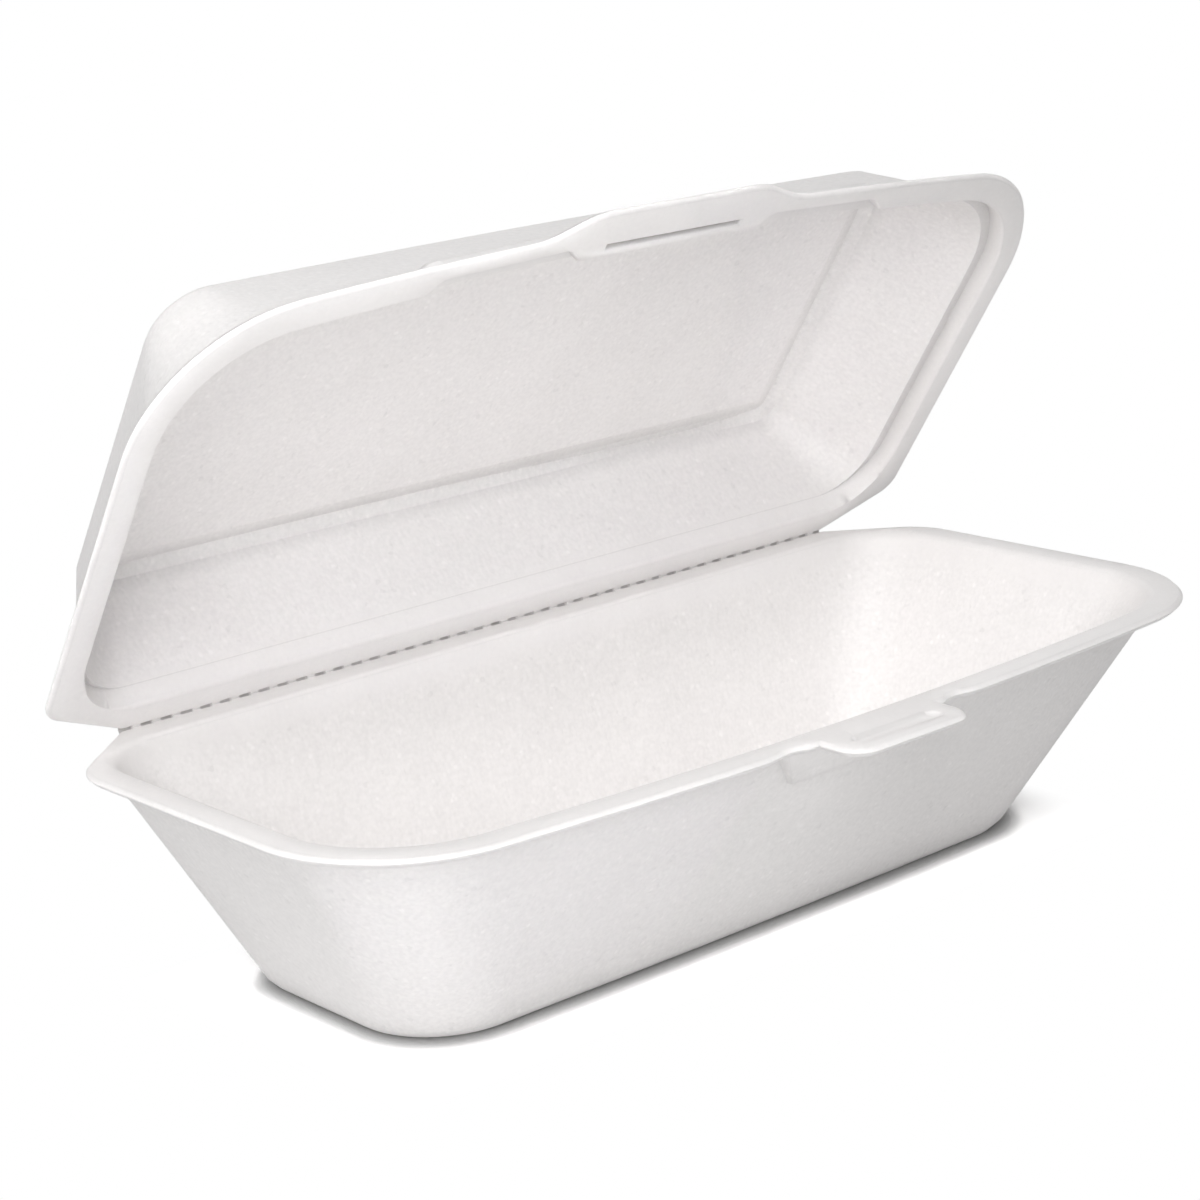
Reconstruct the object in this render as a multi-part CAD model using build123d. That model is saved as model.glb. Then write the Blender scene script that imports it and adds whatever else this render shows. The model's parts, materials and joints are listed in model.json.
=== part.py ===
"""Foam clamshell container: a tray and its tear-off lid, pressed from one foam sheet.

Plan sizes are measured from the fold line (y = 0), with the front towards -y.
The finished pieces are then moved so that the origin is the middle of the tray's base.
"""
from build123d import *
import os
from dataclasses import dataclass
from math import atan2, cos, sin, tan

# Overall sizes
LENGTH = 249.0          # rim, side to side
DEPTH = 120.0           # fold line to the middle of the front rim
TRAY_HEIGHT = 55.0      # table to the fold line
LID_HEIGHT = 31.5       # fold line to the outer top of the closed lid
LID_OPEN = 54.8         # lid angle from closed, as it stands at rest

# Foam sheet
FOAM = 2.0              # sheet thickness
SEAM = 0.3              # clearance between the two rims along the fold
THROUGH = 6.0           # reach of the cuts that go right through the sheet

# Rim, shared by tray and lid
RIM_WIDTH = 7.0         # outer edge to the mouth
EDGE_BEVEL = 0.9        # softens the outer edge, above and below
FRONT_BOW = 7.5         # front edge stands this much proud in the middle
FRONT_ROUND = 34.0
REAR_ROUND = 16.0       # rear corners of the mouth
FOLD_LENGTH = 210.0
LEAST_ROUND = 1.0       # no upright corner is sharper

# Rear corners of the rims, cut back from the fold
TRAY_CUT = 17.0
TRAY_CUT_ROUND = 16.0
LID_CUT = 10.0
LID_CUT_ROUND = 7.0

# Tray
BASE_LENGTH = 181.0
BASE_BACK = 18.8        # fold line to the rear edge of the base
BASE_FRONT = 81.2       # fold line to the front edge of the base
BASE_ROUND = 20.0       # front corners
BASE_REAR_ROUND = 13.0
BASE_EDGE = 5.0         # radius of the edge round the base
FLAT_BOW = 1.0          # bow left in the front edges of base and lid top
CREASE = 2.0            # softens the crease round the floor and the lid's top, inside
MOUTH_FLARE = 1.2       # softens the edge between rim and wall
MOUTH_DROP = 1.0

# Lid
TOP_LENGTH = 203.0
TOP_BACK = 13.8
TOP_FRONT = 94.4
TOP_ROUND = 12.0        # front corners
TOP_REAR_ROUND = 6.0
TOP_EDGE = 3.0
STEP = 4.6              # stiffening step just inside the lid rim
LEDGE = 2.4
STEP_BEVEL = 0.8
BEVEL_DRAFT = 45.0
SKIRT_BEVEL = 2.5       # softens the outside of the step
LUG_REACH = 3.2         # outward lugs of the step, one on each side of the tab
LUG_FAR = 60.0
LUG_ROUND = 3.0
PAD_DEPTH = 3.0         # rim widens inwards round the latch slot
PAD_LENGTH = 44.0
PANEL_RISE = 0.9        # the top is pressed in, inside a sloping border
PANEL_SLOPE = 4.0

# Latch: the tray's tongue is pushed through the slot in the lid's tab
TONGUE_LENGTH = 34.0
TONGUE_REACH = 11.0
TONGUE_ROUND = 5.5
SCALLOP = 7.0           # radius of the hollows beside the tongue
SCALLOP_BITE = 1.6      # how far they cut into the rim
SCALLOP_LEAD = 14.0     # radius that leads the rim into them
DIMPLE_LENGTH = 25.0
DIMPLE_WIDTH = 5.0
DIMPLE_DEPTH = 0.8
DIMPLE_DRAFT = 50.0
DIMPLE_OUT = 5.0        # front rim to the middle of the dimple
TAB_LENGTH = 46.0
TAB_ROOT = 70.0
TAB_REACH = 4.6
TAB_BEND = 18.0
SLOT_PLAY = 1.5
SLOT_LENGTH = TONGUE_LENGTH + 2 * SLOT_PLAY
SLOT_WIDTH = 0.9
SLOT_LEAD = 0.6         # softens the slot's mouth
SLOT_INSET = 4.6
BOSS_LENGTH = 46.0      # swelling of the tray wall under the tongue
BOSS_REACH = 2.2
BOSS_DROP = 10.0
BOSS_DRAFT = 40.0

# Tear line, along which the sheet is pinched thin from outside
PINCH_WIDTH = 3.0
PINCH_LEFT = 0.9
PERF_PITCH = 5.0
PERF_LENGTH = 3.0
PERF_WIDTH = 0.8

FOLD_Y = (BASE_BACK + BASE_FRONT) / 2
HALF = LENGTH / 2
HALF_SEAM = SEAM / 2


@dataclass
class Section:
    """A level cut through a tub: rounded rectangle with a bowed front edge."""

    half: float
    back: float
    front: float
    bow: float
    back_round: float
    front_round: float

    def grown(self, by):
        """The same cut, moved outwards all round."""
        return Section(
            self.half + by,
            self.back - by,
            self.front + by,
            self.bow,
            max(self.back_round + by, LEAST_ROUND),
            max(self.front_round + by, LEAST_ROUND),
        )

    def trimmed(self, by):
        """The same cut, moved inwards at the ends and the front only."""
        return Section(
            self.half - by, self.back, self.front - by, self.bow, self.back_round, self.front_round
        )

    def towards(self, other, share):
        """The cut a share of the way to another one."""
        names = ("half", "back", "front", "bow", "back_round", "front_round")
        sizes = [getattr(self, n) + share * (getattr(other, n) - getattr(self, n)) for n in names]
        return Section(*sizes)

    def face(self):
        """The cut as a sketch on the XY plane."""
        shoulder = -(self.front - self.bow)
        with BuildSketch() as plan:
            with BuildLine():
                rear = Line((-self.half, -self.back), (self.half, -self.back))
                right = Line(rear @ 1, (self.half, shoulder))
                front = ThreePointArc(right @ 1, (0, -self.front), (-self.half, shoulder))
                Line(front @ 1, rear @ 0)
            make_face()
            fillet(plan.vertices().group_by(Axis.Y)[0], self.front_round)
            fillet(plan.vertices().group_by(Axis.Y)[-1], self.back_round)
        return plan.sketch


def rim_mouth():
    """The opening inside a rim, where the walls begin."""
    half = HALF - RIM_WIDTH
    return Section(half, RIM_WIDTH, DEPTH - RIM_WIDTH, FRONT_BOW, REAR_ROUND, FRONT_ROUND - RIM_WIDTH)


def tub(*levels):
    """Solid with straight walls between level cuts, each given with its height."""
    return loft([Pos(0, 0, z) * section.face() for z, section in levels], ruled=True)


def round_edge(flat, mouth, rise, radius):
    """Cuts that round the edge of a flat end, each with its distance from that end."""
    slope = atan2(rise, mouth.half - flat.half)
    reach = radius * tan(slope / 2)
    knee = radius * (1 - cos(slope))
    return [
        (0, flat.grown(-reach)),
        (radius * (1 - cos(slope / 2)), flat.grown(radius * sin(slope / 2) - reach)),
        (knee, flat.towards(mouth, knee / rise)),
    ]


def wall_inset(low, high, rise):
    """Level thickness of a sloping wall that is one sheet thick across."""
    slope = atan2(abs(high.half - low.half), rise)
    return FOAM / cos(slope)


def rim_plan(cut, cut_round):
    """Outer edge of a rim, from the fold line to the bowed front."""
    shoulder = -(DEPTH - FRONT_BOW)
    with BuildSketch() as plan:
        with BuildLine():
            fold = Line((-FOLD_LENGTH / 2, -HALF_SEAM), (FOLD_LENGTH / 2, -HALF_SEAM))
            corner = Line(fold @ 1, (HALF, -cut))
            side = Line(corner @ 1, (HALF, shoulder))
            front = ThreePointArc(side @ 1, (0, -DEPTH), (-HALF, shoulder))
            far_side = Line(front @ 1, (-HALF, -cut))
            Line(far_side @ 1, fold @ 0)
        make_face()
        fillet(plan.vertices().group_by(Axis.Y)[0], FRONT_ROUND)
        cuts = plan.vertices().filter_by_position(Axis.Y, -cut - 0.01, -cut + 0.01)
        fillet(cuts, cut_round)
    return plan.sketch


def rim_sheet(plan):
    """Rim below z = 0, its edge softened everywhere but along the fold."""
    sheet = extrude(plan, -FOAM)
    levels = sheet.edges().group_by(Axis.Z)
    edges = [e for e in [*levels[0], *levels[-1]] if e.center().Y < -SEAM]
    return chamfer(edges, EDGE_BEVEL)


def tongue_plan():
    """The tray rim with its latch tongue and the scallops beside it."""
    tongue = Pos(0, -DEPTH) * Rectangle(TONGUE_LENGTH, 2 * TONGUE_REACH)
    tips = tongue.vertices().group_by(Axis.Y)[0]
    tongue = fillet(tips, TONGUE_ROUND)
    plan = rim_plan(TRAY_CUT, TRAY_CUT_ROUND) + tongue
    offset_x = TONGUE_LENGTH / 2 + SCALLOP
    scallops = [Pos(side * offset_x, -DEPTH - SCALLOP + SCALLOP_BITE) * Circle(SCALLOP) for side in (-1, 1)]
    plan = plan - scallops
    brinks = plan.vertices().filter_by_position(Axis.Y, -DEPTH - 1, -DEPTH + 1)
    outer = [v for v in brinks if abs(v.X) > offset_x]
    return fillet(outer, SCALLOP_LEAD)


def front_edge(x):
    """Distance from the fold to the bowed front edge of a rim."""
    return DEPTH - FRONT_BOW * (x / HALF) ** 2


def tab_plan():
    """The lid rim with its wide latch tab."""
    tip = Vector(TAB_LENGTH / 2, -DEPTH - TAB_REACH)
    root = Vector(TAB_ROOT / 2, -front_edge(TAB_ROOT / 2))
    heel = root + (root - tip) / 3
    right = [(tip.X, tip.Y), (heel.X, heel.Y)]
    left = [(-x, y) for x, y in reversed(right)]
    tab = make_face(Polyline(*right, *left, close=True))
    plan = rim_plan(LID_CUT, LID_CUT_ROUND) + tab
    bends = plan.vertices().filter_by_position(Axis.Y, tip.Y - 0.1, root.Y + 0.5)
    bends = [v for v in bends if abs(v.X) < root.X + 1]
    return fillet(bends, TAB_BEND)


def mouth_plan(section):
    """Lid mouth: lugs swell it outwards beside the tab, and a pad narrows it at the slot."""

    def on_front(x, out):
        return (x, -(section.front - section.bow * (x / section.half) ** 2 + out))

    shoulder = -(section.front - section.bow)
    lug_foot = LUG_FAR + LUG_REACH
    lug_heel = PAD_LENGTH / 2 + LUG_REACH + PAD_DEPTH
    right = [
        on_front(lug_foot, 0),
        on_front(LUG_FAR, LUG_REACH),
        on_front(lug_heel, LUG_REACH),
        on_front(PAD_LENGTH / 2, -PAD_DEPTH),
    ]
    left = [(-x, y) for x, y in reversed(right)]
    halfway = (section.half + lug_foot) / 2
    with BuildSketch() as plan:
        with BuildLine():
            rear = Line((-section.half, -section.back), (section.half, -section.back))
            side = Line(rear @ 1, (section.half, shoulder))
            ThreePointArc(side @ 1, on_front(halfway, 0), right[0])
            Polyline(*right, *left)
            arc = ThreePointArc(left[-1], on_front(-halfway, 0), (-section.half, shoulder))
            Line(arc @ 1, rear @ 0)
        make_face()
        corners = [v for v in plan.vertices() if abs(v.X) < lug_foot + 0.1 and v.Y < shoulder]
        fillet(corners, LUG_ROUND)
        shoulders = plan.vertices().filter_by_position(Axis.Y, shoulder - 0.01, shoulder + 0.01)
        fillet(shoulders, section.front_round)
        fillet(plan.vertices().group_by(Axis.Y)[-1], section.back_round)
    return plan.sketch


def perforations():
    """Slots of the tear line, centred on the fold."""
    count = int((FOLD_LENGTH - PERF_LENGTH) / PERF_PITCH) + 1
    slot = Box(PERF_LENGTH, PERF_WIDTH, 2 * THROUGH)
    return [Pos(x, 0, 0) * slot for x in [(i - (count - 1) / 2) * PERF_PITCH for i in range(count)]]


def fold_pinch():
    """Wedge that thins a sheet lying below z = 0 towards the fold."""
    corners = [(-PINCH_WIDTH, -FOAM), (0, -PINCH_LEFT), (0, -FOAM)]
    wedge = make_face(Polyline(*corners, close=True))
    return extrude(Plane.YZ * wedge, FOLD_LENGTH / 2, both=True)


def build_tray():
    """Tray with its floor on z = 0."""
    top = TRAY_HEIGHT - HALF_SEAM
    mouth = rim_mouth()
    base = Section(BASE_LENGTH / 2, BASE_BACK, BASE_FRONT, FLAT_BOW, BASE_REAR_ROUND, BASE_ROUND)
    level = wall_inset(base, mouth, top)
    outer_mouth = mouth.grown(level)
    inner_floor = base.towards(outer_mouth, FOAM / top).grown(-level)

    outside = tub(*round_edge(base, outer_mouth, top, BASE_EDGE), (top, outer_mouth))
    inside = tub((FOAM, inner_floor), (top, mouth))
    inside = chamfer(inside.edges().group_by(Axis.Z)[0], CREASE)

    boss_front = outer_mouth.front + BOSS_REACH
    boss = Pos(0, -boss_front + 2 * RIM_WIDTH) * Rectangle(BOSS_LENGTH, 4 * RIM_WIDTH)
    boss = extrude(Pos(0, 0, top - FOAM) * boss, -BOSS_DROP, taper=BOSS_DRAFT)
    rim = Pos(0, 0, top) * rim_sheet(tongue_plan())
    neck = mouth.towards(inner_floor, MOUTH_DROP / (top - FOAM))
    flare = tub((top - MOUTH_DROP, neck), (top, mouth.grown(MOUTH_FLARE)))
    tray = outside + boss + rim - inside - flare
    dimple = Pos(0, -DEPTH - DIMPLE_OUT, top) * SlotOverall(DIMPLE_LENGTH, DIMPLE_WIDTH)
    tray = tray - extrude(dimple, -DIMPLE_DEPTH, taper=DIMPLE_DRAFT)
    return tray - [Pos(0, 0, top) * cut for cut in [fold_pinch(), *perforations()]]


def build_lid():
    """Lid in its closed place, its mating face just above z = 0."""
    mouth = rim_mouth()
    top = Section(TOP_LENGTH / 2, TOP_BACK, TOP_FRONT, FLAT_BOW, TOP_REAR_ROUND, TOP_ROUND)
    foot = mouth.grown(-LEDGE).towards(top, -STEP / (LID_HEIGHT - STEP))
    foot.back = mouth.back
    level = wall_inset(foot, top, LID_HEIGHT)
    outer_foot = foot.grown(level)
    inner_top = outer_foot.towards(top, 1 - FOAM / LID_HEIGHT).grown(-level)

    edge = [(LID_HEIGHT - down, cut) for down, cut in round_edge(top, outer_foot, LID_HEIGHT, TOP_EDGE)]
    outside = tub((0, outer_foot), *reversed(edge))
    ceiling = LID_HEIGHT - FOAM
    inside = tub((0, foot), (ceiling, inner_top))
    inside = chamfer(inside.edges().group_by(Axis.Z)[-1], CREASE)
    border = inner_top.grown(-CREASE)
    panel = tub((ceiling - PANEL_RISE, border.grown(-PANEL_SLOPE)), (ceiling, border))

    mouth.back = foot.towards(inner_top, STEP / LID_HEIGHT).back
    step = mouth_plan(mouth)
    skirt = extrude(offset(step, FOAM), STEP + FOAM)
    skirt = chamfer(skirt.edges().group_by(Axis.Z)[-1], SKIRT_BEVEL)
    lid = Pos(0, 0, FOAM) * rim_sheet(tab_plan()) + skirt + outside
    neck = foot.towards(inner_top, MOUTH_DROP / ceiling).trimmed(LEDGE)
    flare = tub((0, foot.grown(MOUTH_FLARE).trimmed(LEDGE)), (MOUTH_DROP, neck))
    bevel = extrude(offset(step, STEP_BEVEL), STEP_BEVEL, taper=BEVEL_DRAFT)
    lid = lid - extrude(step, STEP) - bevel - inside - flare
    lid = lid + panel - Pos(0, 0, FOAM) * panel
    slot = Pos(0, -DEPTH + SLOT_INSET) * Rectangle(SLOT_LENGTH, SLOT_WIDTH)
    slot_mouth = offset(slot, SLOT_LEAD, kind=Kind.INTERSECTION)
    slot_mouth = extrude(slot_mouth, SLOT_LEAD, taper=BEVEL_DRAFT)
    lid = lid - extrude(slot, THROUGH, both=True) - slot_mouth
    lid = lid - [mirror(fold_pinch(), Plane.XY), *perforations()]
    return Pos(0, 0, HALF_SEAM) * lid


def main():
    """Builds both pieces where they stand and writes one file for each."""
    os.makedirs("parts", exist_ok=True)
    place = Pos(0, FOLD_Y, 0)
    tray = place * build_tray()
    lid = place * Pos(0, 0, TRAY_HEIGHT) * Rot(-LID_OPEN, 0, 0) * build_lid()
    for name, piece in (("tray", tray), ("lid", lid)):
        solids = piece.solids()
        print(name, len(solids), "valid", piece.is_valid, "cm3", round(piece.volume / 1000, 1))
        export_step(solids[0], f"parts/{name}.step")


if __name__ == "__main__":
    main()
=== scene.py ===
"""Foam clamshell container, dressed: a tray and its lid, pressed from one foam sheet.

Everything is in metres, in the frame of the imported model: the fold runs along X, the front
is towards -Y, and the table is at z = 0.
"""
import json
import logging
from dataclasses import dataclass, field, replace
from enum import Enum
from math import cos, pi, radians, sin
from typing import Any, Optional, Union

import bmesh
import bpy
from mathutils import Matrix, Vector


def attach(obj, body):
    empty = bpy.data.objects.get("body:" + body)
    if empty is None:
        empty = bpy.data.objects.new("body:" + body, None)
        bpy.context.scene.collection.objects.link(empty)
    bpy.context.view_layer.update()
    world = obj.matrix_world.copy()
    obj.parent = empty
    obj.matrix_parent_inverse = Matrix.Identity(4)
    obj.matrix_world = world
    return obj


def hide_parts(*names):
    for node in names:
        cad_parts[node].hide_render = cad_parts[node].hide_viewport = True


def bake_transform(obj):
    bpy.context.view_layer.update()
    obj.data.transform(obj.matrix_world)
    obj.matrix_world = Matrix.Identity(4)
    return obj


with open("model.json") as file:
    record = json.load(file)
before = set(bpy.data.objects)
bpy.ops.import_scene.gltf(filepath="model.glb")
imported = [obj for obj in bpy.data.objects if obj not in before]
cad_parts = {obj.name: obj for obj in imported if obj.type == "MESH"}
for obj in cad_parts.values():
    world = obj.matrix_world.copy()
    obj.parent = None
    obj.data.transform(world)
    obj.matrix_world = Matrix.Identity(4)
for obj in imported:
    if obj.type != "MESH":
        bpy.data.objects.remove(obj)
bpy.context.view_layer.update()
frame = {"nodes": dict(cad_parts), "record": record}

MM = 0.001

log = logging.getLogger("foam_container")

Colour = tuple[float, float, float]
Span = tuple[float, float]
Socket = bpy.types.NodeSocket

WHITE: Colour = (1.0, 1.0, 1.0)
UNIT: Span = (0.0, 1.0)


class Body(Enum):
    """The two bodies of the container."""

    TRAY = "tray"
    LID = "lid"


class Slot(Enum):
    """The material slots of the record."""

    FOAM = "foam"


@dataclass
class Fold:
    """The perforated fold that the lid turns on.

    Attributes:
        pivot: A point on the fold line, in the middle of its length.
        opened: Angle of the lid from closed, as it stands at rest.
    """

    pivot: Vector
    opened: float

    @classmethod
    def from_frame(cls) -> "Fold":
        """Reads the fold from the record's only hinge.

        Returns:
            The fold, with its line and the lid's resting angle.
        """
        hinge = frame["record"]["behaviour"]["joints"][0]
        return cls(Vector(hinge["pos_m"]), radians(-hinge["range_deg"][0]))

    def turn_of(self, body: Body) -> float:
        """Finds the turn about X that lays a body's pattern level, as if the box were closed.

        Args:
            body: The body.

        Returns:
            The angle.
        """
        return self.opened if body is Body.LID else 0.0


class NodeSheet:
    """A material's node tree, with short calls for the nodes that the scene needs."""

    def __init__(self, name: str) -> None:
        """Makes an empty material.

        Args:
            name: Name of the material.
        """
        self.material = bpy.data.materials.new(name)
        self.material.use_nodes = True
        self.tree = self.material.node_tree
        self.tree.nodes.clear()

    def add(self, kind: str, inputs: Optional[dict[Any, Any]] = None, **settings: Any) -> bpy.types.Node:
        """Adds a node.

        Args:
            kind: Blender's name for the node type.
            inputs: Values or output sockets for its inputs, by name or number.
            settings: Properties of the node itself.

        Returns:
            The new node.
        """
        node = self.tree.nodes.new(kind)
        for key, value in settings.items():
            setattr(node, key, value)
        for key, value in (inputs or {}).items():
            if isinstance(value, Socket):
                self.tree.links.new(value, node.inputs[key])
            else:
                node.inputs[key].default_value = value
        return node

    def place(self) -> Socket:
        """Adds the coordinates of the object.

        Returns:
            The socket with the coordinates.
        """
        return self.add("ShaderNodeTexCoord").outputs["Object"]

    def math(self, operation: str, *values: Union[Socket, float]) -> Socket:
        """Adds a sum.

        Args:
            operation: Blender's name for the kind of sum.
            values: What goes into it.

        Returns:
            The result.
        """
        return self.add("ShaderNodeMath", dict(enumerate(values)), operation=operation).outputs[0]

    def ramp(self, value: Socket, span: Span, to: Span) -> Socket:
        """Maps a value smoothly from one range to another.

        Args:
            value: The socket to read.
            span: The values between which the result changes.
            to: The results at the two ends of the span, and past them.

        Returns:
            The mapped socket.
        """
        inputs = {
            "Value": value,
            "From Min": span[0],
            "From Max": span[1],
            "To Min": to[0],
            "To Max": to[1],
        }
        return self.add("ShaderNodeMapRange", inputs, interpolation_type="SMOOTHSTEP").outputs["Result"]

    def tinted(self, colour: Colour, by: Socket) -> Socket:
        """Multiplies a colour by a factor.

        Args:
            colour: The colour.
            by: The factor.

        Returns:
            The product.
        """
        inputs = {0: colour, "Scale": by}
        return self.add("ShaderNodeVectorMath", inputs, operation="SCALE").outputs["Vector"]

    def noise(self, place: Socket, width: float, detail: float) -> Socket:
        """Adds a soft, cloudy pattern.

        Args:
            place: Coordinates.
            width: Width of its patches.
            detail: How many finer patterns lie over it.

        Returns:
            The pattern, from 0 to 1.
        """
        inputs = {"Vector": place, "Scale": 1 / width, "Detail": detail}
        return self.add("ShaderNodeTexNoise", inputs).outputs["Fac"]

    def cells(self, place: Socket, width: float) -> tuple[Socket, bpy.types.Node]:
        """Adds a pattern of scattered cells.

        Args:
            place: Coordinates.
            width: Width of a cell.

        Returns:
            The distance from the middle of a cell, and a node with each cell's own random numbers.
        """
        inputs = {"Vector": place, "Scale": 1 / width, "Randomness": 1.0}
        pattern = self.add("ShaderNodeTexVoronoi", inputs)
        pick = self.add("ShaderNodeSeparateColor", {"Color": pattern.outputs["Color"]})
        return pattern.outputs["Distance"], pick

    def openness(self, reach: float, samples: int, only_local: bool) -> Socket:
        """Finds how open a point lies.

        Args:
            reach: How far away other surfaces count.
            samples: How many directions are tried.
            only_local: Whether only the object itself counts.

        Returns:
            A socket from 0 in a deep crease to 1 in the open.
        """
        inputs = {"Distance": reach}
        settings = {"samples": samples, "only_local": only_local}
        return self.add("ShaderNodeAmbientOcclusion", inputs, **settings).outputs["AO"]

    def output(self, shader: Socket) -> bpy.types.Material:
        """Joins a shader to the material's output.

        Args:
            shader: The shader.

        Returns:
            The material.
        """
        self.add("ShaderNodeOutputMaterial", {"Surface": shader})
        return self.material


@dataclass(frozen=True)
class FoamFinish:
    """Expanded foam: fused beads under a satin skin, smoother where the mould pinched the rim.

    Attributes:
        name: Name of the material.
        tint: Colour of the foam.
        bead: Width of one bead.
        bead_shade: How much darker the seams between beads are.
        seam_span: Distances from the middle of a bead, over its width, between which its seam darkens.
        fleck: Width of the light flecks.
        fleck_share: Share of the flecks that show.
        fleck_lift: How much lighter a fleck is.
        fleck_span: Distances from the middle of a fleck, over its width, between which it fades.
        pit_share: Share of the beads that hold a dark pit.
        pit_shade: How much darker a pit is.
        cloud: Width of the soft cloudy patches.
        cloud_shade: How much the patches vary.
        draw: Width of the streaks left where the sheet was drawn down the walls.
        draw_stretch: Length of a streak over its width.
        draw_shade: How much the streaks vary.
        soft_span: Values of a soft pattern that count as its darkest and its lightest.
        crease: Reach of the painted shade that darkens the creases.
        painted_crease_shade: How much darker it is.
        crease_span: Openness between which a crease fades.
        crease_samples: Directions that are tried to find a crease.
        relief: Height of the beads.
        relief_strength: Share of that height that shows.
        sway: Height of the slow waves in the walls.
        sway_strength: Share of that height that shows.
        sway_width: Width of those waves.
        rough: Roughness of the walls.
        rough_vary: How much the roughness varies from bead to bead.
        rim_rough: Roughness of the pinched rim.
        rim_band: Height of the rim's smooth band, from where it is full to where it ends.
        rim_pattern: Share of the pattern that is left on the rim.
        rim_relief: Share of the relief that is left on the rim.
        ior: Index of refraction of the skin.
        specular: Strength of the skin's gloss.
    """

    name: str = "foam"
    tint: Colour = (0.930, 0.910, 0.903)
    bead: float = 1.0 * MM
    bead_shade: float = 0.021
    seam_span: Span = (0.25, 0.8)
    fleck: float = 1.5 * MM
    fleck_share: float = 0.14
    fleck_lift: float = 0.07
    fleck_span: Span = (0.15, 0.55)
    pit_share: float = 0.012
    pit_shade: float = 0.05
    cloud: float = 22.0 * MM
    cloud_shade: float = 0.012
    draw: float = 0.9 * MM
    draw_stretch: float = 12.0
    draw_shade: float = 0.012
    soft_span: Span = (0.3, 0.7)
    crease: float = 7.0 * MM
    painted_crease_shade: float = 0.24
    crease_span: Span = (0.55, 0.95)
    crease_samples: int = 2
    relief: float = 0.05 * MM
    relief_strength: float = 0.6
    sway: float = 0.5 * MM
    sway_strength: float = 0.5
    sway_width: float = 55.0 * MM
    rough: float = 0.52
    rough_vary: float = 0.06
    rim_rough: float = 0.40
    rim_band: Span = (3.0 * MM, 9.0 * MM)
    rim_pattern: float = 0.35
    rim_relief: float = 0.3
    ior: float = 1.45
    specular: float = 0.38

    def material(self, body: Body, fold: Fold) -> bpy.types.Material:
        """Makes the foam for one body, with its streaks running down that body's walls.

        Args:
            body: The body that wears it.
            fold: The fold, from which heights are measured.

        Returns:
            The material.
        """
        sheet = NodeSheet(f"{self.name}_{body.value}")
        place = self.level(sheet, body, fold)
        rim = self.rim_share(sheet, place)
        colour, height, vary = self.beads(sheet, place, rim)
        normal = self.surface(sheet, place, height, rim)
        rough = sheet.math("ADD", sheet.ramp(rim, UNIT, (self.rough, self.rim_rough)), vary)
        shader = sheet.add("ShaderNodeBsdfPrincipled", {
            "Base Color": colour,
            "Roughness": rough,
            "Normal": normal,
            "IOR": self.ior,
            "Specular IOR Level": self.specular,
        })
        return sheet.output(shader.outputs["BSDF"])

    def level(self, sheet: NodeSheet, body: Body, fold: Fold) -> Socket:
        """Lays the pattern's coordinates level on a body, with the fold line at zero.

        Args:
            sheet: The node tree.
            body: The body that wears the finish.
            fold: The fold.

        Returns:
            The socket with the coordinates.
        """
        turn = fold.turn_of(body)
        shift = Matrix.Rotation(turn, 3, "X") @ -fold.pivot
        inputs = {"Vector": sheet.place(), "Location": shift, "Rotation": (turn, 0.0, 0.0)}
        return sheet.add("ShaderNodeMapping", inputs).outputs["Vector"]

    def rim_share(self, sheet: NodeSheet, place: Socket) -> Socket:
        """Finds how far a point belongs to the pinched, smoother rim.

        Args:
            sheet: The node tree.
            place: Level coordinates.

        Returns:
            A socket from 0 on the walls to 1 on the rim.
        """
        height = sheet.add("ShaderNodeSeparateXYZ", {"Vector": place}).outputs["Z"]
        return sheet.ramp(sheet.math("ABSOLUTE", height), self.rim_band, (1.0, 0.0))

    def beads(self, sheet: NodeSheet, place: Socket, rim: Socket) -> tuple[Socket, Socket, Socket]:
        """Paints the fused beads, the flecks, the pits, the clouds, the streaks, and painted shade in the
        creases.

        Args:
            sheet: The node tree.
            place: Level coordinates.
            rim: Share of the rim.

        Returns:
            The colour, the height of the beads, and what they add to the roughness.
        """
        from_bead, bead = sheet.cells(place, self.bead)
        pit = sheet.ramp(bead.outputs["Red"], (self.pit_share, self.pit_share / 2), (0.0, self.pit_shade))
        seam = sheet.ramp(from_bead, self.seam_span, (0.0, -self.bead_shade))

        from_spot, spot = sheet.cells(place, self.fleck)
        chosen = sheet.ramp(spot.outputs["Green"], (1.0 - self.fleck_share, 1.0), UNIT)
        core = sheet.ramp(from_spot, self.fleck_span, (self.fleck_lift, 0.0))
        fleck = sheet.math("MULTIPLY", chosen, core)

        long_way = {"Vector": place, "Scale": (1.0, 1.0, 1.0 / self.draw_stretch)}
        drawn = sheet.add("ShaderNodeMapping", long_way).outputs["Vector"]
        crowd = sheet.noise(place, self.bead, detail=2.0)
        streak = sheet.noise(drawn, self.draw, detail=2.0)
        cloud = sheet.noise(place, self.cloud, detail=3.0)

        shade = sheet.math("ADD", seam, self.soft(sheet, crowd, self.bead_shade))
        shade = sheet.math("ADD", shade, self.soft(sheet, streak, self.draw_shade))
        shade = sheet.math("ADD", shade, fleck)
        shade = sheet.math("SUBTRACT", shade, pit)
        shade = sheet.math("MULTIPLY", shade, sheet.ramp(rim, UNIT, (1.0, self.rim_pattern)))
        shade = sheet.math("ADD", shade, self.soft(sheet, cloud, self.cloud_shade))
        # Painted shade: the colour darkens where the surface is hemmed in by its own creases, as ambient
        # shade would fall there.
        opened = sheet.openness(self.crease, self.crease_samples, only_local=True)
        crease = sheet.ramp(opened, self.crease_span, (self.painted_crease_shade, 0.0))
        shade = sheet.math("SUBTRACT", shade, crease)

        colour = sheet.tinted(self.tint, sheet.math("ADD", shade, 1.0))
        dome = sheet.math("SUBTRACT", 1.0, from_bead)
        return colour, dome, self.soft(sheet, crowd, self.rough_vary)

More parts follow.
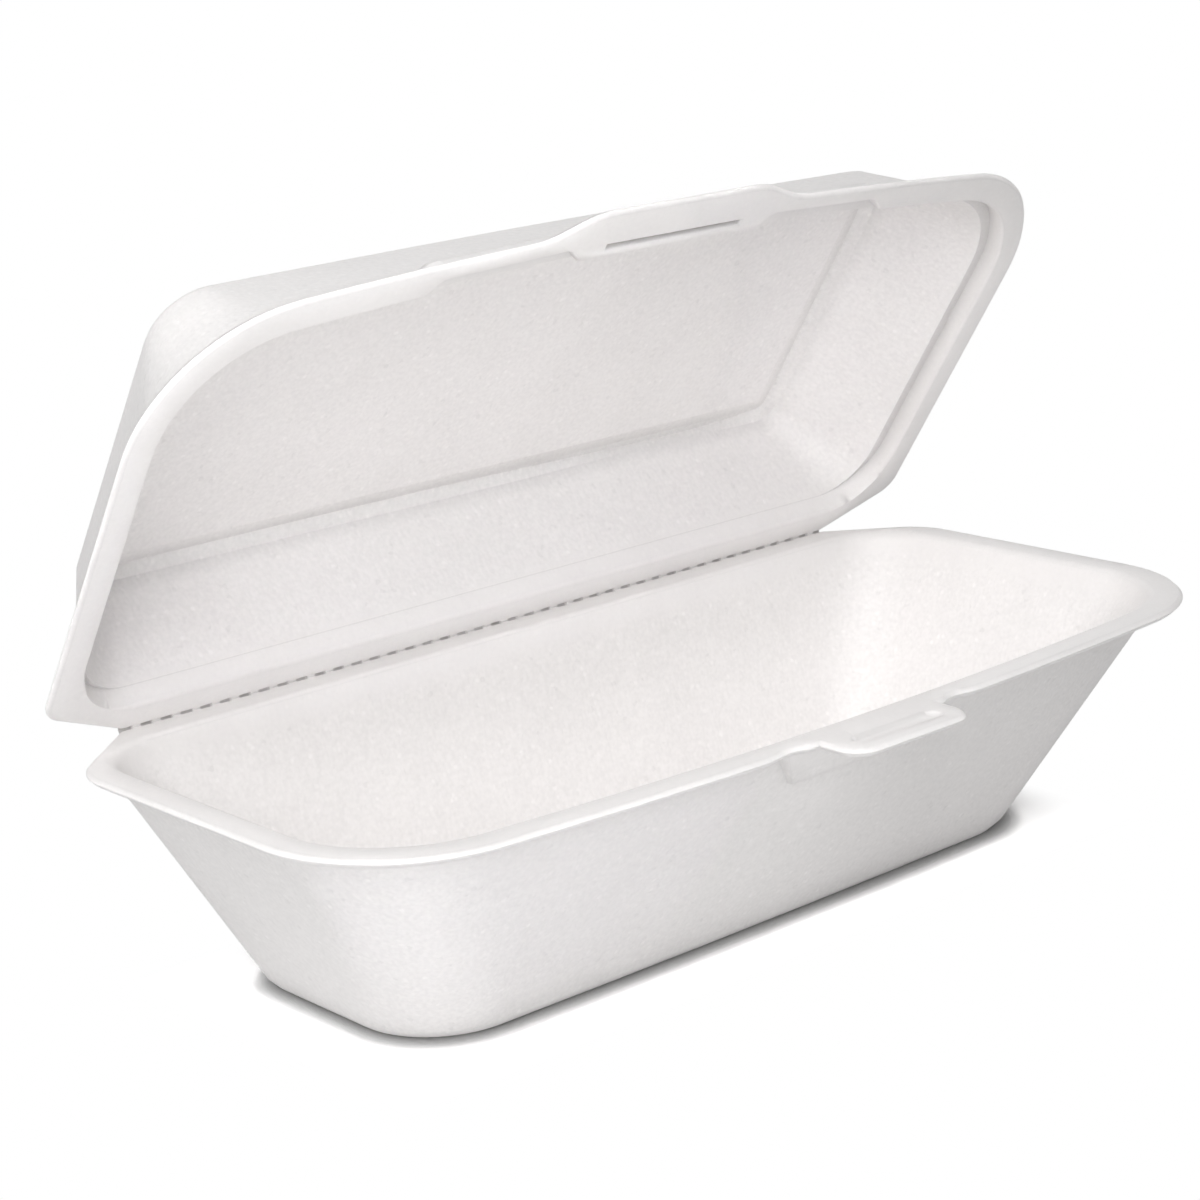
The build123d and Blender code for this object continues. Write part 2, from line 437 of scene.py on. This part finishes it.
    def soft(self, sheet: NodeSheet, pattern: Socket, amount: float) -> Socket:
        """Centres a soft pattern on zero.

        Args:
            sheet: The node tree.
            pattern: The pattern, from 0 to 1.
            amount: How far the result goes, up and down.

        Returns:
            The centred pattern.
        """
        return sheet.ramp(pattern, self.soft_span, (-amount, amount))

    def surface(self, sheet: NodeSheet, place: Socket, height: Socket, rim: Socket) -> Socket:
        """Raises the beads and lets the thin walls sway a little.

        Args:
            sheet: The node tree.
            place: Level coordinates.
            height: Height of the beads.
            rim: Share of the rim.

        Returns:
            The normal.
        """
        wave = sheet.noise(place, self.sway_width, detail=1.0)
        slow = {"Strength": self.sway_strength, "Distance": self.sway, "Height": wave}
        swaying = sheet.add("ShaderNodeBump", slow).outputs["Normal"]
        raised = sheet.math("MULTIPLY", height, sheet.ramp(rim, UNIT, (1.0, self.rim_relief)))
        fine = {
            "Strength": self.relief_strength,
            "Distance": self.relief,
            "Height": raised,
            "Normal": swaying,
        }
        return sheet.add("ShaderNodeBump", fine).outputs["Normal"]


def seen_directly(tree: bpy.types.NodeTree) -> Socket:
    """Finds whether a ray comes from the camera, or from it by way of a shiny or clear surface.

    Args:
        tree: The node tree that asks.

    Returns:
        A socket that is 1 for such rays and 0 for others.
    """
    path = tree.nodes.new("ShaderNodeLightPath")
    seen = path.outputs["Is Camera Ray"]
    for kind in ("Is Glossy Ray", "Is Transmission Ray"):
        either = tree.nodes.new("ShaderNodeMath")
        either.operation = "MAXIMUM"
        tree.links.new(seen, either.inputs[0])
        tree.links.new(path.outputs[kind], either.inputs[1])
        seen = either.outputs[0]
    return seen


def only(piece: bpy.types.Object) -> None:
    """Selects one object and makes it active.

    Args:
        piece: The object.
    """
    bpy.ops.object.select_all(action="DESELECT")
    piece.select_set(True)
    bpy.context.view_layer.objects.active = piece


def apply_modifier(piece: bpy.types.Object, kind: str, **settings: Any) -> None:
    """Adds a modifier and applies it.

    Args:
        piece: The object.
        kind: Blender's name for the modifier type.
        settings: Properties of the modifier.
    """
    only(piece)
    modifier = piece.modifiers.new(kind.lower(), kind)
    for key, value in settings.items():
        setattr(modifier, key, value)
    bpy.ops.object.modifier_apply(modifier=modifier.name)


@dataclass
class FoamShell:
    """One pressed half of the box, with a smooth skin over the solid of the same name.

    Attributes:
        body: The body that it rides on, and the solid that it stands for.
        finish: Its foam.
        crease: Edges that turn by more than this stay sharp.
        panel_crease: The same for the folds round the pressed panel of the lid.
        panel_depth: Height above the fold, with the box closed, from which those folds count.
        flat: Facets that turn by less than this are one face.
        weld: Points closer than this are one.
        face_weight: How far large faces rule the shading, where 50 is not at all.
    """

    body: Body
    finish: FoamFinish
    crease: float = radians(52)
    panel_crease: float = radians(11)
    panel_depth: float = 26.0 * MM
    flat: float = radians(0.01)
    weld: float = 0.002 * MM
    face_weight: int = 90

    def build(self, fold: Fold) -> bpy.types.Object:
        """Skins the solid with one closed, smooth mesh.

        Args:
            fold: The fold.

        Returns:
            The shell.
        """
        node = frame["nodes"][self.body.value]
        shell = bpy.data.objects.new(f"{self.body.value}_shell", node.data.copy())
        bpy.context.scene.collection.objects.link(shell)
        only(shell)
        bpy.ops.object.mode_set(mode="EDIT")
        bpy.ops.mesh.select_all(action="SELECT")
        bpy.ops.mesh.customdata_custom_splitnormals_clear()
        bpy.ops.mesh.remove_doubles(threshold=self.weld)
        bpy.ops.mesh.dissolve_limited(angle_limit=self.flat)
        bpy.ops.object.mode_set(mode="OBJECT")
        bpy.ops.object.shade_smooth_by_angle(angle=self.crease)
        if self.body is Body.LID:
            self.sharpen_panel(shell, fold)
        apply_modifier(shell, "WEIGHTED_NORMAL", mode="FACE_AREA", weight=self.face_weight, keep_sharp=True)
        return shell

    def sharpen_panel(self, shell: bpy.types.Object, fold: Fold) -> None:
        """Keeps the folds round the pressed panel crisp.

        Args:
            shell: The shell.
            fold: The fold.
        """
        level = Matrix.Rotation(fold.turn_of(self.body), 3, "X")
        mesh = bmesh.new()
        mesh.from_mesh(shell.data)
        for edge in mesh.edges:
            deep = all((level @ (corner.co - fold.pivot)).z > self.panel_depth for corner in edge.verts)
            if deep and edge.is_manifold and edge.calc_face_angle() > self.panel_crease:
                edge.smooth = False
        mesh.to_mesh(shell.data)
        mesh.free()

    def dress(self, shell: bpy.types.Object, fold: Fold) -> None:
        """Gives the shell its foam and its body.

        Args:
            shell: The shell.
            fold: The fold.
        """
        shell.data.materials.clear()
        shell.data.materials.append(self.finish.material(self.body, fold))
        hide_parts(self.body.value)
        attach(shell, self.body.value)


@dataclass
class FoldStrips:
    """Strips of foam that bend round the fold, from the tray to the lid.

    Attributes:
        name: Name of the piece.
        finish: Their foam.
        width: Width of one strip, along the fold.
        count: How many there are.
        inner: Inside radius of the bend.
        outer: Outside radius of the bend.
        pitch: Distance from strip to strip.
        root: Angle by which a strip runs on into the foam at each end.
        steps: Facets round the bend.
        crease: Edges that turn by more than this stay sharp.
        weld: Points closer than this are one.
    """

    name: str
    finish: FoamFinish
    width: float
    count: int
    inner: float
    outer: float = 1.0 * MM
    pitch: float = 5.0 * MM
    root: float = radians(30)
    steps: int = 12
    crease: float = radians(40)
    weld: float = 0.001 * MM

    def build(self, fold: Fold) -> bpy.types.Object:
        """Spins one strip about the fold line and repeats it along the fold.

        Args:
            fold: The fold.

        Returns:
            All the strips, as one object.
        """
        first = -(self.count - 1) / 2 * self.pitch
        middle = (self.inner + self.outer) / 2
        bpy.ops.object.select_all(action="DESELECT")
        bpy.ops.mesh.primitive_plane_add(size=1.0)
        strips = bpy.context.active_object
        strips.name = strips.data.name = self.name
        bpy.ops.object.mode_set(mode="EDIT")
        bpy.ops.mesh.select_all(action="SELECT")
        bpy.ops.transform.resize(value=(self.width, self.outer - self.inner, 1.0))
        bpy.ops.transform.translate(value=(first, -middle, 0.0))
        bpy.ops.object.mode_set(mode="OBJECT")
        lean = Matrix.Translation(fold.pivot) @ Matrix.Rotation(pi / 2 - self.root, 4, "X")
        strips.data.transform(lean)
        only(strips)
        bpy.ops.object.mode_set(mode="EDIT")
        bpy.ops.mesh.select_all(action="SELECT")
        sweep = pi - fold.opened + 2 * self.root
        bpy.ops.mesh.spin(steps=self.steps, angle=-sweep, center=fold.pivot, axis=(1.0, 0.0, 0.0))
        bpy.ops.mesh.select_all(action="SELECT")
        bpy.ops.mesh.remove_doubles(threshold=self.weld)
        bpy.ops.mesh.normals_make_consistent(inside=False)
        bpy.ops.object.mode_set(mode="OBJECT")
        bpy.ops.object.shade_smooth_by_angle(angle=self.crease)
        apply_modifier(
            strips, "ARRAY", count=self.count, use_relative_offset=False,
            use_constant_offset=True, constant_offset_displace=(self.pitch, 0.0, 0.0),
        )
        return strips

    def dress(self, strips: bpy.types.Object, fold: Fold) -> None:
        """Gives the strips their foam and bakes their placement into the mesh.

        Args:
            strips: The strips.
            fold: The fold.
        """
        strips.data.materials.append(self.finish.material(Body.TRAY, fold))
        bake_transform(strips)


@dataclass
class TearLine:
    """The perforated line along the fold: short bridges between slots, closed by a thin web outside.

    Attributes:
        finish: Its foam.
        slot_shade_tint: Colour of the web behind the slots, darker as painted shade for the depth of the
            slots.
        length: Length of the fold.
        pitch: Distance from slot to slot.
        slot: Length of a slot.
        bridge_inner: Inside radius of the bridges.
        web_inner: Inside radius of the web.
    """

    finish: FoamFinish
    slot_shade_tint: Colour = (0.82, 0.795, 0.785)
    length: float = 210.0 * MM
    pitch: float = 5.0 * MM
    slot: float = 3.0 * MM
    bridge_inner: float = 0.10 * MM
    web_inner: float = 0.90 * MM

    def pieces(self) -> list[FoldStrips]:
        """Lists the bridges and the web.

        Returns:
            What has to be built.
        """
        slots = int((self.length - self.slot) / self.pitch) + 1
        run = (slots - 1) * self.pitch + self.slot
        gap = self.pitch - self.slot
        # Painted shade: the web behind the slots is tinted darker, so that the slots read as deep.
        slot_shade = replace(self.finish, name="slot_shade_foam", tint=self.slot_shade_tint)
        return [
            FoldStrips("fold_bridges", self.finish, gap, slots - 1, self.bridge_inner, pitch=self.pitch),
            FoldStrips("fold_web", slot_shade, run, 1, self.web_inner),
        ]


@dataclass
class PhotoCamera:
    """The camera, at the photograph's viewing angle.

    Attributes:
        target: Point in the middle of the picture.
        azimuth: Angle round the box from straight in front.
        elevation: Angle above the table.
        roll: Turn of the picture about its middle.
        distance: From the target to the camera.
        focal_px: Focal length in pixels of the picture.
        frame_px: Width and height of the picture.
    """

    target: Vector = field(default_factory=lambda: Vector((0.0, 15.1, 65.9)) * MM)
    azimuth: float = radians(-39.96)
    elevation: float = radians(15.22)
    roll: float = radians(-3.62)
    distance: float = 642.4 * MM
    focal_px: float = 2892.0
    frame_px: float = 1200.0

    def build(self) -> bpy.types.Object:
        """Places the camera and makes it the scene's own.

        Returns:
            The camera.
        """
        data = bpy.data.cameras.new("photo_camera")
        data.lens = self.focal_px / self.frame_px * data.sensor_width
        camera = bpy.data.objects.new("photo_camera", data)
        bpy.context.scene.collection.objects.link(camera)
        level = cos(self.elevation)
        back = Vector((sin(self.azimuth) * level, -cos(self.azimuth) * level, sin(self.elevation)))
        side = Vector((0.0, 0.0, 1.0)).cross(back).normalized()
        tilt = back.cross(side)
        right = side * cos(self.roll) + tilt * sin(self.roll)
        up = tilt * cos(self.roll) - side * sin(self.roll)
        turn = Matrix((right, up, back)).transposed().to_4x4()
        camera.matrix_world = Matrix.Translation(self.target + back * self.distance) @ turn
        bpy.context.scene.camera = camera
        return camera


@dataclass
class Softbox:
    """A square soft lamp, wide or with a narrow beam.

    Attributes:
        name: Name of the lamp.
        place: Where it hangs.
        size: Width and height.
        power: Power in watts.
        spread: Angle of the beam.
        aim: Point that it faces, if not the middle of the picture.
    """

    name: str
    place: Vector
    size: float
    power: float
    spread: float = pi
    aim: Optional[Vector] = None

    def build(self, target: Vector) -> bpy.types.Object:
        """Hangs the lamp, facing the box.

        Args:
            target: Middle of the picture.

        Returns:
            The lamp.
        """
        data = bpy.data.lights.new(self.name, "AREA")
        data.shape = "SQUARE"
        data.size = self.size
        data.energy = self.power
        data.spread = self.spread
        lamp = bpy.data.objects.new(self.name, data)
        bpy.context.scene.collection.objects.link(lamp)
        lamp.location = self.place
        lamp.rotation_euler = (self.place - (self.aim or target)).to_track_quat("Z", "Y").to_euler()
        lamp.visible_camera = False
        return lamp


def soft_lamps() -> list[Softbox]:
    """Lists the lamps: wide ones from the left, and narrow ones for the lid, its rim and the tray.

    Returns:
        The lamps.
    """
    return [
        Softbox("key_lamp", Vector((-0.55, -0.55, 0.40)), 0.35, 2.65),
        Softbox("high_lamp", Vector((-0.50, -0.40, 0.80)), 0.40, 3.3),
        Softbox("side_lamp", Vector((-0.45, 0.0, 0.45)), 0.20, 0.28),
        Softbox(
            "lid_lamp", Vector((-0.60, -0.75, 0.10)), 0.12, 0.036,
            spread=radians(18), aim=Vector((0.01, 0.09, 0.13)),
        ),
        Softbox(
            "rim_lamp", Vector((0.50, -0.60, 0.06)), 0.08, 0.0055,
            spread=radians(10), aim=Vector((0.15, 0.05, 0.12)),
        ),
        Softbox(
            "tray_lamp", Vector((0.25, -0.45, 0.85)), 0.20, 0.025,
            spread=radians(24), aim=Vector((0.02, 0.03, 0.03)),
        ),
    ]


@dataclass
class Studio:
    """White table, even surrounding light and soft lamps, mostly from the left.

    Attributes:
        table: Width of the table.
        table_shade: How much light the table throws back on the box.
        table_white: The same for what the camera sees, so that the picture's ground is white.
        foot: Half length and half depth of the box's base.
        shadow_reach: Distances from the base over which the ground turns to even white.
        contact: Reach of the painted contact shadow where the box meets the table.
        painted_contact_shade: Brightness of that line.
        contact_span: Openness between which that line fades.
        contact_samples: Directions that are tried to find that line.
        surround: Strength of the light from all round.
        lamps: The soft lamps.
    """

    table: float = 14.0
    table_shade: float = 0.80
    table_white: float = 2.2
    foot: Span = (90.5 * MM, 31.2 * MM)
    shadow_reach: Span = (2.0 * MM, 18.0 * MM)
    contact: float = 5.0 * MM
    painted_contact_shade: float = 0.20
    contact_span: Span = (0.45, 1.0)
    contact_samples: int = 3
    surround: float = 0.20
    lamps: list[Softbox] = field(default_factory=soft_lamps)

    def build(self, target: Vector) -> None:
        """Sets up the table, the surrounding light, the lamps and the view settings.

        Args:
            target: Point that the lamps face.
        """
        self.build_table()
        self.build_surround()
        for lamp in self.lamps:
            lamp.build(target)
        bpy.context.scene.view_settings.view_transform = "Standard"

    def build_table(self) -> None:
        """Lays the table, which looks white to the camera, keeps the box's shadow from the lamps and
        carries a painted contact shadow along the base.
        """
        bpy.ops.object.select_all(action="DESELECT")
        bpy.ops.mesh.primitive_plane_add(size=self.table)
        table = bpy.context.active_object
        table.name = "table"
        sheet = NodeSheet("table_white")
        seen = seen_directly(sheet.tree)
        # Painted shadow: the ground's colour darkens near the box's base, where it is hemmed in.
        near = sheet.openness(self.contact, self.contact_samples, only_local=False)
        dark = self.painted_contact_shade * self.table_white
        ground = sheet.ramp(near, self.contact_span, (dark, self.table_white))
        mixed = {"Factor": seen, "A": self.table_shade, "B": ground}
        shade = sheet.add("ShaderNodeMix", mixed).outputs["Result"]
        matt = sheet.add("ShaderNodeBsdfDiffuse", {"Color": sheet.tinted(WHITE, shade)})
        white = sheet.add("ShaderNodeEmission", {"Color": (*WHITE, 1.0), "Strength": 1.0})
        far = sheet.math("MULTIPLY", self.past_shadow(sheet), seen)
        parts = {0: far, 1: matt.outputs["BSDF"], 2: white.outputs["Emission"]}
        shader = sheet.add("ShaderNodeMixShader", parts)
        table.data.materials.append(sheet.output(shader.outputs["Shader"]))

    def past_shadow(self, sheet: NodeSheet) -> Socket:
        """Finds how far a point of the table lies past the box's shadow.

        Args:
            sheet: The node tree.

        Returns:
            A socket from 0 at the base to 1 where the ground is even white.
        """
        along = sheet.add("ShaderNodeSeparateXYZ", {"Vector": sheet.place()})
        beside = [
            sheet.math("SUBTRACT", sheet.math("ABSOLUTE", along.outputs[axis]), half)
            for axis, half in zip("XY", self.foot)
        ]
        return sheet.ramp(sheet.math("MAXIMUM", *beside), self.shadow_reach, UNIT)

    def build_surround(self) -> None:
        """Lights the box evenly from all round, in front of a white ground."""
        world = bpy.data.worlds.new("surround")
        world.use_nodes = True
        tree = world.node_tree
        ground = tree.nodes["Background"]
        ground.inputs["Color"].default_value = (*WHITE, 1.0)
        strength = tree.nodes.new("ShaderNodeMapRange")
        strength.inputs["To Min"].default_value = self.surround
        tree.links.new(seen_directly(tree), strength.inputs["Value"])
        tree.links.new(strength.outputs["Result"], ground.inputs["Strength"])
        bpy.context.scene.world = world


def main() -> None:
    """Builds the box, piece by piece, and then the studio round it."""
    logging.basicConfig(level=logging.INFO, format="%(message)s")
    fold = Fold.from_frame()
    foam = FoamFinish()
    makers: list[Union[FoamShell, FoldStrips]] = [FoamShell(body, foam) for body in Body]
    makers += TearLine(foam).pieces()
    for maker in makers:
        piece = maker.build(fold)
        maker.dress(piece, fold)
        log.info("%s: %d faces", piece.name, len(piece.data.polygons))
    camera = PhotoCamera()
    camera.build()
    Studio().build(camera.target)
    log.info("studio and camera set")


if __name__ == "__main__":
    main()
